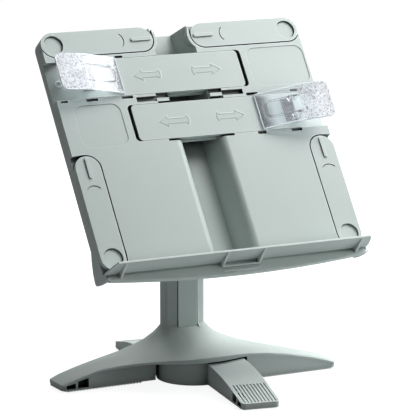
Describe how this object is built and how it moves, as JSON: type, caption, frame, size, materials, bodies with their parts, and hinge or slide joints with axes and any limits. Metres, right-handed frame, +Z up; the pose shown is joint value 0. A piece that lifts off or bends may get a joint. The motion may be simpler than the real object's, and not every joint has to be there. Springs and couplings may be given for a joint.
{
  "type": "reading stand",
  "caption": "Reading stand with a tilting book panel, swing arms, sliding bars with clear page clips and a folding ledge, on a telescopic column over a folding cross base",
  "frame": {"origin": "on the ground, on the axis of the cross bar's hub, which is the middle of the base", "axes": "+X to the stand's right as the reader sees it, -Y towards the reader, +Z up; the panel leans back by 35.5 degrees"},
  "size_m": [0.3034, 0.3054, 0.3673],
  "materials": {
    "sage": "fine matte moulded plastic",
    "clear": "clear moulded plastic",
    "steel": "plated steel",
    "brass": "machined brass",
    "dark": "matte slide plastic",
    "rubber": "matte elastomer"
  },
  "bodies": {
    "base": {"base_cover": "sage", "column_strip": "sage", "guide_collar": "dark", "clamp_insert": "brass", "clamp_pad": "dark", "sole_left": "rubber", "sole_right": "rubber", "pivot_screw": "steel", "pivot_washer": "steel"},
    "cross_bar": {"cross_bar": "sage", "sole_front": "rubber", "sole_back": "rubber"},
    "clamp_knob": {"clamp_knob": "sage"},
    "post": {"inner_post": "sage", "tilt_bolt": "steel", "tilt_washer_left": "steel", "tilt_washer_right": "steel"},
    "tilt_knob": {"tilt_knob": "sage"},
    "panel": {"book_panel": "sage", "back_cover_left": "sage", "back_cover_right": "sage", "cover_screw_left_low": "steel", "cover_screw_left_high": "steel", "cover_screw_right_low": "steel", "cover_screw_right_high": "steel", "arm_pin_upper_left": "sage", "arm_pin_upper_right": "sage", "arm_pin_lower_left": "sage", "arm_pin_lower_right": "sage", "tilt_bracket": "steel", "bracket_screw_low": "steel", "bracket_screw_high": "steel", "ledge_rod": "steel"},
    "arm_upper_left": {"swing_arm_upper_left": "sage"},
    "arm_upper_right": {"swing_arm_upper_right": "sage"},
    "arm_lower_left": {"swing_arm_lower_left": "sage"},
    "arm_lower_right": {"swing_arm_lower_right": "sage"},
    "upper_bar": {"upper_slide_bar": "sage", "left_clip_bracket": "clear", "left_clip_pin": "steel"},
    "lower_bar": {"lower_slide_bar": "sage", "right_clip_bracket": "clear", "right_clip_pin": "steel"},
    "left_clip": {"left_clip_lever": "clear"},
    "right_clip": {"right_clip_lever": "clear"},
    "ledge": {"book_ledge": "sage"}
  },
  "joints": [
    {"name": "foot_fold", "type": "hinge", "parent": "base", "child": "cross_bar", "pos_m": [0, 0, 0.0252], "axis": [0, 0, -1], "range_deg": [0, 80]},
    {"name": "post_slide", "type": "slide", "parent": "base", "child": "post", "axis": [0, 0, 1], "range_m": [-0.045, 0.03]},
    {"name": "clamp_turn", "type": "hinge", "parent": "base", "child": "clamp_knob", "pos_m": [0, 0.0508, 0.146], "axis": [0, 1, 0], "range_deg": [-180, 180]},
    {"name": "panel_tilt", "type": "hinge", "parent": "post", "child": "panel", "pos_m": [0, 0.0278, 0.2535], "axis": [-1, 0, 0], "range_deg": [-25, 40]},
    {"name": "tilt_knob_turn", "type": "hinge", "parent": "post", "child": "tilt_knob", "pos_m": [0.0138, 0.0278, 0.2535], "axis": [1, 0, 0], "range_deg": [-180, 180]},
    {"name": "upper_left_swing", "type": "hinge", "parent": "panel", "child": "arm_upper_left", "pos_m": [-0.136, 0.04988, 0.35593], "axis": [0, -0.8141, 0.5807], "range_deg": [0, 90]},
    {"name": "upper_right_swing", "type": "hinge", "parent": "panel", "child": "arm_upper_right", "pos_m": [0.136, 0.04988, 0.35593], "axis": [0, 0.8141, -0.5807], "range_deg": [0, 90]},
    {"name": "lower_left_swing", "type": "hinge", "parent": "panel", "child": "arm_lower_left", "pos_m": [-0.136, -0.0903, 0.1594], "axis": [0, -0.8141, 0.5807], "range_deg": [0, 90]},
    {"name": "lower_right_swing", "type": "hinge", "parent": "panel", "child": "arm_lower_right", "pos_m": [0.136, -0.0903, 0.1594], "axis": [0, 0.8141, -0.5807], "range_deg": [0, 90]},
    {"name": "upper_bar_slide", "type": "slide", "parent": "panel", "child": "upper_bar", "axis": [-1, 0, 0], "range_m": [0, 0.045]},
    {"name": "lower_bar_slide", "type": "slide", "parent": "panel", "child": "lower_bar", "axis": [1, 0, 0], "range_m": [0, 0.045]},
    {"name": "left_clip_press", "type": "hinge", "parent": "upper_bar", "child": "left_clip", "pos_m": [-0.113, 0.01985, 0.32588], "axis": [0, -0.5807, -0.8141], "range_deg": [0, 20], "stiffness_Nm_per_rad": 0.3, "springref_deg": -6.88},
    {"name": "right_clip_press", "type": "hinge", "parent": "lower_bar", "child": "right_clip", "pos_m": [0.113, -0.01151, 0.28192], "axis": [0, 0.5807, 0.8141], "range_deg": [0, 20], "stiffness_Nm_per_rad": 0.3, "springref_deg": -6.88},
    {"name": "ledge_fold", "type": "hinge", "parent": "panel", "child": "ledge", "pos_m": [0, -0.09616, 0.14085], "axis": [1, 0, 0], "range_deg": [0, 85]}
  ]
}
